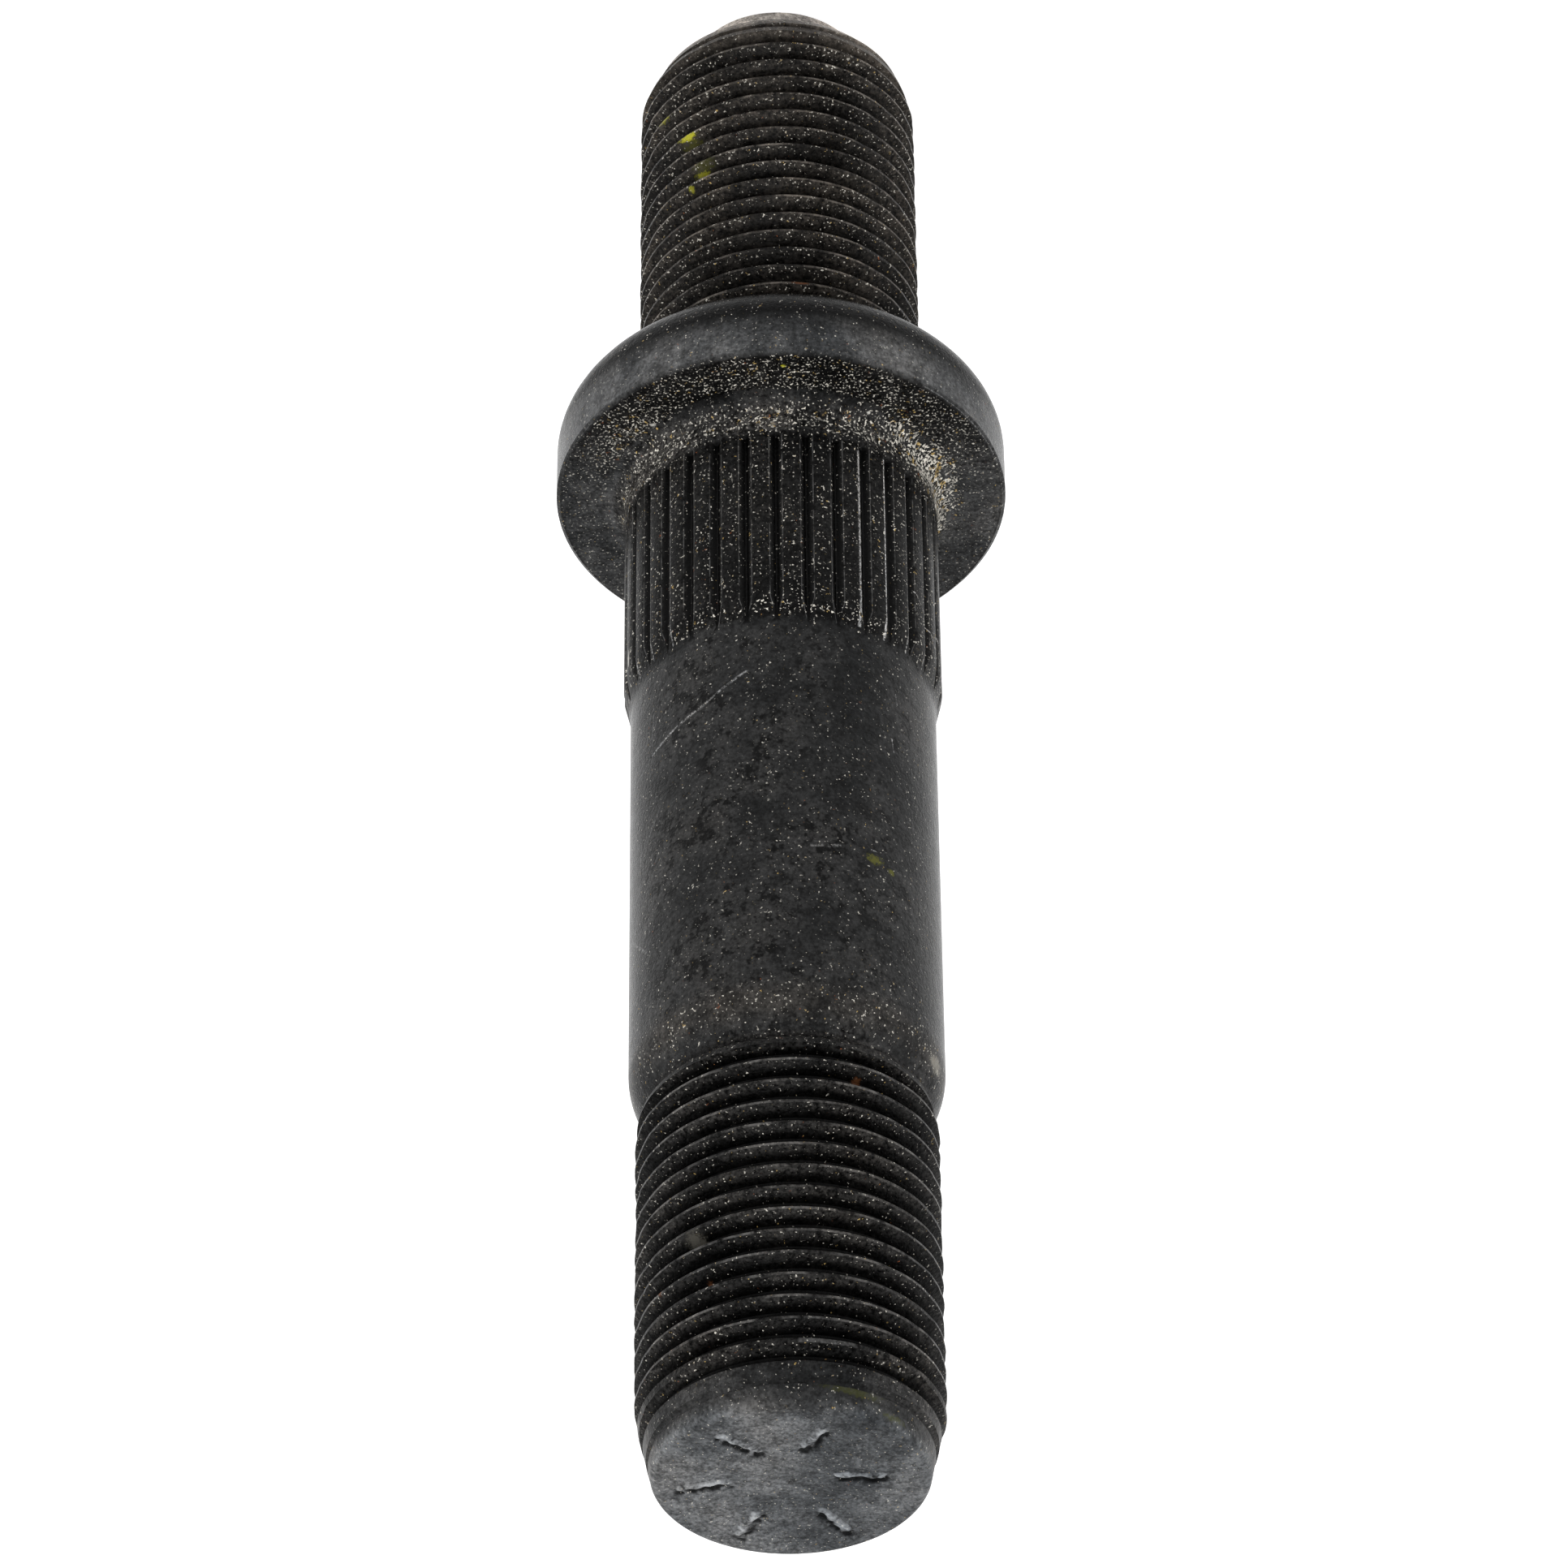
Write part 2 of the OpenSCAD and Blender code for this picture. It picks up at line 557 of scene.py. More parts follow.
@dataclass(frozen=True)
class RolledThread:
    """A right-hand rolled thread: a band whose rows follow the helix.

    It fades into a plain neck at one end and is cut by a lead cone at the other. Rows past
    the ends are drawn back onto them, where they merge into a plain ring. DENT and WEAR have
    a number for each row of a turn, from root to root.
    """

    FLANK = math.tan(math.radians(30))
    DENT = (0.0, 0.0, 0.5, 1.0, 1.0, 0.5, 0.0)
    WEAR = (0.0, 0.0, 0.62, 1.0, 1.0, 0.62, 0.0)
    DENTED_NOISE = (0.44, 0.66)
    LENGTHS = (
        "neck_z", "end_z", "lead_drop", "lead_len", "crest_flat", "crest_round", "root_flat",
        "dent_depth", "dent_size",
    )

    name: str
    neck_z: float
    end_z: float
    lead_drop: float
    lead_len: float
    end_slope: float
    start_turn: float
    crest_flat: float = 0.2
    crest_round: float = 0.035
    root_flat: float = 0.3
    fade_turns: float = 0.6
    dent_depth: float = 0.09
    dent_size: float = 2.6

    def inputs(self, s: StudSizes) -> dict[str, float]:
        """Value of each input of the tree, in metres.

        Args:
            s: the stud's sizes.

        Returns:
            The values by name.
        """
        lengths = {label: getattr(self, label) for label in self.LENGTHS}
        lengths |= {"pitch": s.pitch, "crest_r": s.thread_r, "root_r": s.root_r, "neck_r": s.blank_r}
        lengths |= {"end_r": s.end_r, "runout": s.runout_turns * s.pitch, "fade": self.fade_turns * s.pitch}
        turns = math.ceil(abs(self.end_z - self.neck_z) / s.pitch) + 2.0
        numbers = {"end_slope": self.end_slope, "start_turn": self.start_turn, "turns": turns}
        return {label: length * MM for label, length in lengths.items()} | numbers

    @classmethod
    def tree(cls, sizes: Iterable[str]) -> NodeTree:
        """Writes the tree that both threads share.

        Args:
            sizes: names of its sizes.

        Returns:
            The mesh tree.
        """
        bench = band_bench("rolled_thread", sizes)
        g = SimpleNamespace(**bench.given)
        per_turn = float(len(cls.DENT))
        mesh, _, row, across, along, turn = band_grid(bench, g.turns * per_turn + 1.0)
        low = bench.least(g.neck_z, g.end_z)
        high = bench.most(g.neck_z, g.end_z)
        edge_len = (g.crest_r - g.lead_drop - g.end_r) / g.end_slope

        def envelope(z: Num) -> Num:
            """Outer radius that the lead cone, the end and the run-out leave.

            Args:
                z: height.

            Returns:
                The radius.
            """
            from_end = (z - g.end_z).size()
            lead = g.crest_r - g.lead_drop * bench.ramp(from_end - edge_len, g.lead_len, 0.0)
            rise = bench.ramp((z - g.neck_z).size(), 0.0, g.runout)
            neck = g.neck_r + (g.crest_r - g.neck_r) * rise
            return bench.least(lead, g.end_r + g.end_slope * from_end, neck)

        ridge, step = bench.divide(row, per_turn)
        crest_z = low + (ridge + turn + g.start_turn - 1.5) * g.pitch
        half_pitch = g.pitch * 0.5
        half_flat = g.crest_flat * 0.5
        spot = bench.vector(across * g.crest_r, along * g.crest_r, crest_z)
        lumps = bench.get("ShaderNodeTexNoise", {"Vector": spot, "Scale": 1.0 / g.dent_size})
        inside = bench.ramp(bench.least(crest_z - low, high - crest_z), half_pitch, g.pitch * 1.6)
        worn = bench.ramp(lumps, *cls.DENTED_NOISE) * inside
        dent = worn * g.dent_depth
        root_edge = half_pitch - g.root_flat * 0.5
        land = half_flat + (g.crest_r - envelope(crest_z) + dent) * cls.FLANK
        land = bench.least(land, root_edge - g.crest_round * 2.0)
        outwards = (land - g.crest_round, land + g.crest_round, root_edge)
        inwards = [offset * -1.0 for offset in (half_pitch, *reversed(outwards))]
        z = bench.least(bench.most(crest_z + bench.pick(step, *inwards, *outwards), low), high)
        off_crest = bench.most((z - crest_z).size() - half_flat, 0.0)
        form = bench.most(g.crest_r - off_crest / cls.FLANK, g.root_r)
        bottom = g.root_r + (g.neck_r - g.root_r) * bench.ramp((z - g.neck_z).size(), g.fade, 0.0)
        outer = envelope(z)
        radius = bench.least(bench.most(form, bottom), outer - dent * bench.pick(step, *cls.DENT))
        narrow = bench.ramp(land - half_flat, half_flat * 2.0, half_flat * 0.4)
        wear = bench.pick(step, *cls.WEAR) * (0.5 + narrow * 0.5) * (1.0 - worn * 0.2)
        place = bench.vector(across * radius, along * radius, z)
        return close_band(bench, mesh, place, wear, (outer - radius) / (g.crest_r - g.root_r))

    def build(self, tree: NodeTree, sizes: StudSizes, shared: dict[str, object]) -> Object:
        """Grows this thread's band."""
        return grow(tree, self.name, shared | self.inputs(sizes))


@dataclass(frozen=True)
class Serrations:
    """The rolled serrations: V grooves that fade out on the taper and stop at the collar.

    FLOORS, EDGES, SIDES and WEAR have a number for each column of a tooth, from one groove's
    floor to the next. CUT has one for each row, and says where the grooves are.
    """

    FLOORS = (1.0, 1.0, 0.0, 0.0, 0.0, 0.0, 0.0)
    EDGES = (0.0, 0.0, 1.0, 0.0, 0.0, 0.0, 1.0)
    SIDES = (0.0, 0.0, -1.0, -1.0, 0.0, 1.0, 1.0)
    # WEAR lightens the tooth edges: rubbed wear, and a painted highlight along them.
    WEAR = (0.0, 0.0, 1.0, 0.4, 0.0, 0.4, 1.0)
    CUT = (0.0, 1.0, 1.0, 1.0, 1.0, 0.0)

    columns: Columns
    edge_drop: float = 0.05
    run_in: float = 0.3

    def inputs(self, s: StudSizes) -> dict[str, float]:
        """Value of each input of the tree, in metres.

        Args:
            s: the stud's sizes.

        Returns:
            The values by name.
        """
        lengths = {
            "crest_r": s.serration_r,
            "floor_r": s.serration_r - self.columns.groove_depth,
            "shank_r": s.shank_r,
            "collar_z": s.collar_end,
            "crest_end": s.serration_end,
            "taper": s.taper_len,
            "run_in": self.run_in,
            "edge_drop": self.edge_drop,
        }
        first_angle = {"first_angle": self.columns.angles(s.serration_r)[0]}
        return {label: length * MM for label, length in lengths.items()} | first_angle

    @classmethod
    def tree(cls, sizes: Iterable[str]) -> NodeTree:
        """Writes the tree of the serrated band.

        Args:
            sizes: names of its sizes.

        Returns:
            The mesh tree.
        """
        bench = band_bench("serrations", sizes)
        g = SimpleNamespace(**bench.given)
        mesh, column, row, _, _, turn = band_grid(bench, float(len(cls.CUT)))
        _, step = bench.divide(column, float(Columns.PER_TOOTH))
        drop = g.crest_r - g.shank_r
        to_floor = (g.crest_r - g.floor_r) / drop
        shares = (to_floor * 0.5, to_floor, 1.0)
        outer = g.crest_r - drop * bench.pick(row, 0.0, 0.0, 0.0, *shares)
        heights = [g.collar_z, g.collar_z + g.run_in, g.crest_end]
        z = bench.pick(row, *heights, *(g.crest_end + g.taper * share for share in shares))
        cut = bench.pick(row, *cls.CUT)
        floors = bench.pick(step, *cls.FLOORS)
        kept = (outer - g.floor_r) / (g.crest_r - g.floor_r)
        raised = outer - bench.pick(step, *cls.EDGES) * g.edge_drop * kept
        grooved = raised + (bench.least(g.floor_r, outer) - raised) * floors
        radius = outer + (grooved - outer) * cut
        narrowing = (g.crest_r - outer) / g.crest_r * cut
        angle = g.first_angle + turn * TURN + bench.pick(step, *cls.SIDES) * narrowing
        place = bench.vector(bench.math("COSINE", angle) * radius, bench.math("SINE", angle) * radius, z)
        return close_band(bench, mesh, place, bench.pick(step, *cls.WEAR) * cut, floors * cut)

    def build(self, tree: NodeTree, sizes: StudSizes, shared: dict[str, object]) -> Object:
        """Grows the serrated band."""
        return grow(tree, "serrated_band", shared | self.inputs(sizes))


@dataclass(frozen=True)
class Ring:
    """One ring of a turned stretch: its radius and height, and how worn it is."""

    r: float
    z: float
    wear: float = 0.0


def arc(centre: tuple[float, float], r: float, start: float, end: float, steps: int = 8) -> list[Ring]:
    """Rings along an arc of the profile.

    Args:
        centre: radius and height of the arc's centre.
        r: the arc's radius.
        start: angle at its start, in degrees from straight out.
        end: angle at its end.
        steps: number of straight steps.

    Returns:
        The rings, both ends included.
    """
    turns = [math.radians(start + (end - start) * i / steps) for i in range(steps + 1)]
    return [Ring(centre[0] + r * math.cos(a), centre[1] + r * math.sin(a)) for a in turns]


def braced(rings: list[Ring], brace: float = 0.12, shortest: float = 0.5) -> list[Ring]:
    """Adds a ring close to both ends of each long step, so that flats shade flat.

    Args:
        rings: the profile's rings.
        brace: how close to the ends the new rings are.
        shortest: steps shorter than this stay as they are.

    Returns:
        The rings with the new ones among them.
    """
    result = [rings[0]]
    for one, two in zip(rings, rings[1:]):
        gap = math.hypot(two.r - one.r, two.z - one.z)
        if gap > shortest:
            for share in (brace / gap, 1 - brace / gap):
                result.append(Ring(one.r + (two.r - one.r) * share, one.z + (two.z - one.z) * share))
        result.append(two)
    return result


def eased(share: float) -> float:
    """A share from 0 to 1 with its start and end smoothed."""
    return share * share * (3 - 2 * share)


@dataclass(frozen=True)
class Bar:
    """One raised bar on the end face, from its inner to its outer end, in millimetres."""

    inner_x: float
    inner_y: float
    outer_x: float
    outer_y: float

    def away(self, x: float, y: float) -> float:
        """Distance of a place on the face from the bar's middle line.

        Args:
            x: the place's X.
            y: its Y.

        Returns:
            The distance.
        """
        run_x, run_y = self.outer_x - self.inner_x, self.outer_y - self.inner_y
        share = ((x - self.inner_x) * run_x + (y - self.inner_y) * run_y) / (run_x**2 + run_y**2)
        share = min(max(share, 0.0), 1.0)
        return math.hypot(x - self.inner_x - share * run_x, y - self.inner_y - share * run_y)


@dataclass(frozen=True)
class GradeMarks:
    """Six raised radial bars on the end face, the common mark of a high-strength inch stud.

    They were forged by a worn die, so no two are alike. Beside each, towards +Y, is a shallow rough hollow
    that is also darkened as painted shadow.
    """

    bars: tuple[Bar, ...] = (
        Bar(3.9, -0.15, 6.7, 0.62),
        Bar(2.05, 3.45, 3.22, 5.78),
        Bar(-1.95, 3.2, -3.35, 5.45),
        Bar(-2.9, -0.76, -5.4, -0.66),
        Bar(-0.8, -4.0, -1.9, -5.8),
        Bar(2.0, -3.5, 4.2, -5.1),
    )
    half_w: float = 0.48
    height: float = 0.12
    hollow: float = 0.22
    hollow_half_w: float = 0.85
    hollow_shift: tuple[float, float] = (-0.06, 0.5)
    hollow_level: float = 0.85
    hollow_swing: float = 1.4
    # How strongly the bars' raised tops are lightened, a painted highlight.
    shine: float = 4.0
    wobble: float = 0.2
    wobble_size: float = 0.55

    def away(self, x: float, y: float) -> float:
        """Distance from the nearest bar, made uneven by the worn die."""
        push = noise.noise_vector(Vector((x, y, 0.0)) / self.wobble_size) * self.wobble
        return min(bar.away(x + push.x, y + push.y) for bar in self.bars)

    def lift(self, x: float, y: float) -> float:
        """Share of the full height that the nearest bar has at a place on the face."""
        return eased(max(0.0, 1 - self.away(x, y) / self.half_w))

    def pit(self, x: float, y: float) -> float:
        """Share of the full depth that the nearest hollow has at a place on the face, also its share of
        painted shadow.

        Args:
            x: the place's X, in millimetres.
            y: its Y.

        Returns:
            The share, from 0 to 1.
        """
        away = self.away(x - self.hollow_shift[0], y - self.hollow_shift[1])
        share = max(0.0, 1 - away / self.hollow_half_w) * (1 - self.lift(x, y))
        rough = self.hollow_level + self.hollow_swing * noise.noise(Vector((x, y, 9.0)) * 2.6)
        return eased(share) * min(1.0, max(0.0, rough))


@dataclass(frozen=True)
class TurnedBody:
    """The turned and forged stretches between the rolled bands."""

    sizes: StudSizes
    columns: Columns
    marks: GradeMarks
    face_rings: int = 54
    face_sag: float = 0.06
    pole_r: float = 0.02

    @property
    def face_z(self) -> float:
        """Height of the end face between its marks."""
        return self.sizes.top - self.marks.height

    def tip(self) -> list[Ring]:
        """Pilot tip and the shoulder up to the drum-end thread.

        Returns:
            Its rings.
        """
        s = self.sizes
        rings = [Ring(self.pole_r, s.tip), Ring(3.0, s.tip)]
        rings += arc((s.pilot_end_r - s.pilot_edge_r, s.tip + s.pilot_edge_r), s.pilot_edge_r, -90, 0)
        return braced(rings + [Ring(s.pilot_root_r, s.pilot_root), Ring(s.end_r, s.drum_end)])

    def flange(self) -> list[Ring]:
        """Neck under the flange, the flange and the collar.

        Returns:
            Its rings.
        """
        s = self.sizes
        back = -s.flange_t
        rings = [Ring(s.blank_r, s.drum_neck)]
        rings += arc((s.blank_r + s.drum_fillet_r, back - s.drum_fillet_r), s.drum_fillet_r, 180, 90)
        rings += arc((s.flange_r - s.flange_back_r, back + s.flange_back_r), s.flange_back_r, -90, 0, 12)
        rings += [Ring(s.flange_r, -s.seat_edge), Ring(s.flange_r - s.seat_edge, 0.0)]
        rings += arc((s.serration_r + s.seat_fillet_r, s.seat_fillet_r), s.seat_fillet_r, 270, 180)
        return braced(rings + [Ring(s.serration_r, s.collar_end)])

    def shank(self) -> list[Ring]:
        """Plain shank and the shoulder up to the wheel-end thread's neck.

        Returns:
            Its rings.
        """
        s = self.sizes
        sweep = math.degrees(math.acos(1 - (s.shank_r - s.blank_r) / s.shoulder_r))
        length = s.shoulder_r * math.sin(math.radians(sweep))
        shoulder = arc((s.shank_r - s.shoulder_r, s.wheel_neck - length), s.shoulder_r, 0, sweep)
        return braced([Ring(s.shank_r, s.serration_end + s.taper_len)] + shoulder)

    def face(self) -> list[Ring]:
        """Rounded edge and end face over the wheel-end thread.

        Returns:
            Its rings.
        """
        s = self.sizes
        face_r = s.thread_r - s.wheel_lead_drop - s.wheel_edge_r
        edge_z = self.face_z - s.wheel_edge_r
        rings = [Ring(s.end_r, edge_z, 0.3)] + arc((face_r, edge_z), s.wheel_edge_r, 20, 90, 5)
        rings += [Ring(face_r * (1 - i / self.face_rings), self.face_z) for i in range(1, self.face_rings)]
        return rings + [Ring(self.pole_r, self.face_z)]

    def build(self, finish: Material) -> Object:
        """Skins every stretch.

        Args:
            finish: the stud's material.

        Returns:
            An object with the four stretches, open where the bands go.
        """
        points: list[tuple[float, float, float]] = []
        faces: list[list[int]] = []
        wear: list[float] = []
        depth: list[float] = []
        angles = self.columns.angles(self.sizes.serration_r)[:-1]
        turns = len(angles)
        for stretch in (self.tip(), self.flange(), self.shank(), self.face()):
            first = len(points)
            for ring in stretch:
                on_face = abs(ring.z - self.face_z) < 1e-6
                for a in angles:
                    x, y = ring.r * math.cos(a), ring.r * math.sin(a)
                    lift = self.marks.lift(x, y) if on_face else 0.0
                    pit = self.marks.pit(x, y) if on_face else 0.0
                    sag = self.face_sag * abs(noise.noise(Vector((x, y, 3.0)) * 0.35)) if on_face else 0.0
                    z = ring.z + lift * self.marks.height - pit * self.marks.hollow - sag
                    points.append((x * MM, y * MM, z * MM))
                    # The bars' raised tops get a painted highlight through the wear value.
                    wear.append(max(ring.wear, lift * self.marks.shine))
                    # The hollow's share also goes to depth, which darkens it as painted shadow beside the
                    # bar.
                    depth.append(pit)
            for low in range(first, len(points) - turns, turns):
                for j in range(turns):
                    k = (j + 1) % turns
                    faces.append([low + j, low + k, low + turns + k, low + turns + j])
        faces.append(list(reversed(range(turns))))
        faces.append(list(range(len(points) - turns, len(points))))
        mesh = bpy.data.meshes.new("turned")
        mesh.from_pydata(points, [], faces)
        for label, values in (("wear", wear), ("depth", depth)):
            mesh.attributes.new(label, "FLOAT", "POINT").data.foreach_set("value", values)
        mesh.materials.append(finish)
        return in_scene("turned", mesh)


@dataclass(frozen=True)
class Look:
    """How a zone looks: grey level, roughness, how much is dusty, tint, stains, painted groove shade and
    grit.

    The tint runs from -1 for bluish to 1 for brownish. The painted groove shade is how much its
    grooves, thread roots and the hollows by the end-face bars are darkened as painted shade,
    and grit is how strongly its fine grain shows.
    """

    tone: float
    roughness: float
    dust: float
    tint: float = 0.0
    stain: float = 0.0
    soot: float = 0.88
    grit: float = 0.4


@dataclass(frozen=True)
class Patch:
    """Where a zone lies, as heights and distances from the axis in millimetres, and its look.

    A zone with a from_y fades in from there towards +Y.
    """

    low: float
    high: float
    inner: float
    outer: float
    look: Look
    soft: float = 0.15
    from_y: float | None = None
    fade_y: float = 6.0


@dataclass(frozen=True)
class Stroke:
    """A fine scratch, or a painted highlight line along an edge, as two places in degrees round
    the axis and millimetres of height.
    """

    a_deg: float
    a_z: float
    b_deg: float
    b_z: float
    half_w: float = 0.06
    strength: float = 1.0


@dataclass(frozen=True)
class Dab:
    """What was rubbed onto the stud, such as paint, or dust that gathered, if it has no colour."""

    deg: float
    z: float
    half_w: float
    half_h: float
    strength: float
    colour: tuple[float, float, float] | None = None


def dust_group() -> NodeTree:
    """Writes the group for dust: fine flecks from a noise and a few larger grains from cells.

    Returns:
        The shader group.
    """
    inputs = dict.fromkeys(("Density", "Fleck Scale", "Grain Scale", "Grain Size", "Grain Share"), "Float")
    bench = Bench.group("dust", Kind.SHADE, {"Place": "Vector"} | inputs, {"Mask": "Float", "Hue": "Float"})
    place, density, fleck_scale, grain_scale, grain_size, grain_share = bench.given.values()
    fleck_noise = {"Vector": place, "Scale": fleck_scale, "Detail": 1.0, "Roughness": 0.6}
    start = 0.735 - bench.least(density, 1.6) * 0.163
    fleck = bench.ramp(bench.get("ShaderNodeTexNoise", fleck_noise), start, start + 0.06)
    cells = bench.add("ShaderNodeTexVoronoi", {"Vector": place, "Scale": grain_scale})
    chance, hue, glow = bench.parts(Num(bench, cells.outputs["Color"]))
    chosen = bench.ramp(density * grain_share - chance, 0.0, 0.03)
    spot = bench.ramp(Num(bench, cells.outputs["Distance"]), grain_size, grain_size * 0.4)
    shown = bench.most(fleck * (0.22 + glow * 0.78), chosen * spot * (0.4 + glow * 0.6))
    return bench.finish(Mask=shown * bench.least(density * 0.5 + 0.6, 1.0), Hue=hue)


def scratch_group() -> NodeTree:
    """Writes the group for one straight line on the unrolled surface: a scratch, or a painted highlight.

    Returns:
        The shader group.
    """
    labels = ("Round", "Height", "A Round", "A Height", "B Round", "B Height", "Half Width")
    bench = Bench.group("scratch", Kind.SHADE, dict.fromkeys(labels, "Float"), {"Mask": "Float"})
    around, height, a_round, a_height, b_round, b_height, half_w = bench.given.values()
    run, rise = b_round - a_round, b_height - a_height
    from_round, from_height = around - a_round, height - a_height
    share = (from_round * run + from_height * rise) / (run * run + rise * rise)
    share = bench.least(bench.most(share, 0.0), 1.0)
    off_round, off_height = from_round - run * share, from_height - rise * share
    distance = bench.math("SQRT", off_round * off_round + off_height * off_height)
    return bench.finish(Mask=bench.ramp(distance, half_w, 0.0, smooth=True))


def dab_group() -> NodeTree:
    """Writes the group for one dab with a broken edge.

    Returns:
        The shader group.
    """
    labels = ("Round", "Height", "At Round", "At Height", "Half Width", "Half Height", "Break-up")
    bench = Bench.group("smudge", Kind.SHADE, dict.fromkeys(labels, "Float"), {"Mask": "Float"})
    around, height, at_round, at_height, half_w, half_h, broken = bench.given.values()
    aside, above = (around - at_round) / half_w, (height - at_height) / half_h
    distance = bench.math("SQRT", aside * aside + above * above)
    return bench.finish(Mask=bench.ramp(distance + (broken - 0.5) * 2.2, 1.0, 0.3, smooth=True))


@dataclass(frozen=True)
class BlackSteel:
    """Oiled black finish over rolled steel: dusty grooves, rubbed crests and a few scars,
    with painted shade in the grooves, painted highlights on some edges and painted reflections on the
    flange.
    """

    ROUND_R = 10.0

    serration_r: float
    zones: tuple[Patch, ...]
    strokes: tuple[Stroke, ...]
    smudges: tuple[Dab, ...]
    drifts: tuple[Dab, ...]
    shank: Look = Look(0.0188, 0.24, 0.24, 0.0, 0.75)
    specular: float = 0.045
    crest_tone: float = 0.08
    stroke_tone: float = 0.20
    tint_step: float = 0.075
    bump_strength: float = 0.5
    bump_depth: float = 0.08
    dust_colour: tuple[float, float, float] = (0.84, 0.80, 0.71)
    gold_colour: tuple[float, float, float] = (0.60, 0.42, 0.15)
    rust_colour: tuple[float, float, float] = (0.30, 0.09, 0.03)

    def patchwork(self, bench: Bench, r: Num, y: Num, z: Num) -> list[Num]:
        """Lays the zones' looks over each other.

        Args:
            bench: the material's tree.
            r: distance from the axis, in millimetres.
            y: place along the frame's Y, in millimetres.
            z: height over the seat, in millimetres.

        Returns:
            Tone, roughness, dust density, tint, share of stains, painted groove shade and grit.
        """
        values = astuple(self.shank)
        for patch in self.zones:
            soft = patch.soft
            inside = bench.ramp(z, patch.low - soft, patch.low + soft)
            inside = inside * bench.ramp(z, patch.high + soft, patch.high - soft)
            inside = inside * bench.ramp(r, patch.inner - soft, patch.inner + soft)
            inside = inside * bench.ramp(r, patch.outer + soft, patch.outer - soft)
            if patch.from_y is not None:
                inside = inside * bench.ramp(y, patch.from_y, patch.from_y + patch.fade_y, smooth=True)
            values = [inside * (want - value) + value for want, value in zip(astuple(patch.look), values)]
        return values

    def scratches(self, bench: Bench, around: Num, z: Num) -> Num:
        """Mask of the placed scratches and of the painted highlight lines on some edges.

        Args:
            bench: the material's tree.
            around: distance round the axis on the unrolled surface, in millimetres.
            z: height over the seat.

        Returns:
            The mask.
        """
        group = scratch_group()
        marks: Value = 0.0
        for stroke in self.strokes:
            ends = {
                "Round": around, "Height": z, "Half Width": stroke.half_w,
                "A Round": math.radians(stroke.a_deg) * self.ROUND_R, "A Height": stroke.a_z,
                "B Round": math.radians(stroke.b_deg) * self.ROUND_R, "B Height": stroke.b_z,
            }
            marks = bench.most(marks, bench.get("ShaderNodeGroup", ends, node_tree=group) * stroke.strength)
        return marks

    def dusted(self, bench: Bench, base: Num, place: Num, density: Num) -> Num:
        """Lays dust over the base colour.

        Args:
            bench: the material's tree.
            base: the colour under the dust.
            place: where the shaded point is, in millimetres.
            density: how dusty it is there, about 0 to 1.

        Returns:
            The dusty colour.
        """
        dust = bench.add("ShaderNodeGroup", {
            "Place": place, "Density": density,
            "Fleck Scale": 5.6, "Grain Scale": 3.4, "Grain Size": 0.27, "Grain Share": 0.08,
        }, node_tree=dust_group())
        hue = Num(bench, dust.outputs["Hue"])
        colour = bench.blend(bench.ramp(hue, 0.86, 0.90), self.dust_colour, self.gold_colour)
        colour = bench.blend(bench.ramp(hue, 0.98, 0.985), colour, self.rust_colour)
        return bench.blend(Num(bench, dust.outputs["Mask"]), base, colour)

    def material(self) -> Material:
        """Writes the material.

        Returns:
            The material.
        """
        material = bpy.data.materials.new("black_steel")
        bench = Bench.cleared(material)
        coords = bench.get("ShaderNodeTexCoord", output="Object")
        place = bench.get("ShaderNodeVectorMath", {0: coords, "Scale": 1 / MM}, operation="SCALE")
        x, y, z = bench.parts(place)
        r = bench.math("SQRT", x * x + y * y)
        around = bench.math("ARCTAN2", y, x) * self.ROUND_R
        along = z - bench.most(r - self.serration_r, 0.0)
        wear = bench.get("ShaderNodeAttribute", output="Fac", attribute_name="wear")
        depth = bench.get("ShaderNodeAttribute", output="Fac", attribute_name="depth")

        def cloud(scale: float, detail: float, roughness: float) -> Num:
            """A noise over the surface, between 0 and 1."""
            values = {"Vector": place, "Scale": scale, "Detail": detail, "Roughness": roughness}
            return bench.get("ShaderNodeTexNoise", values)

        broad = cloud(0.16, 3.0, 0.6)
        mottle = cloud(0.9, 3.0, 0.7)
        grain = cloud(3.6, 3.0, 0.75)
        frayed = cloud(7.5, 2.0, 0.7)
        tone, roughness, dust, tint, stained, soot, grit = self.patchwork(bench, r, y, z)
        blotch = bench.ramp(broad, 0.34, 0.60, smooth=True) * 0.75 + 0.5
        spotted = bench.ramp(mottle, 0.34, 0.62) * 0.7 + 0.6
        fine = (bench.ramp(grain, 0.36, 0.64) * 2.0 - 1.0) * grit + 1.0
        stain = bench.ramp(mottle, 0.47, 0.40) * bench.ramp(broad, 0.46, 0.56)
        tone = tone * blotch * spotted * fine * (1.0 - stain * stained)
        # Painted shade: grooves, thread roots and the hollows beside the end-face bars are darkened by their
        # depth.
        tone = tone * (1.0 - bench.ramp(depth, 0.15, 0.65, smooth=True) * soot)
        # Lighter edges from the wear value: rubbed wear on the thread crests, partly painted highlight on
        # the serrations' edges and the end-face bars.
        rubbed_and_highlight = bench.ramp(wear, 0.85, 0.97) * bench.ramp(mottle, 0.36, 0.60)
        broken = bench.ramp(grain, 0.37, 0.56) * bench.ramp(frayed, 0.40, 0.53)
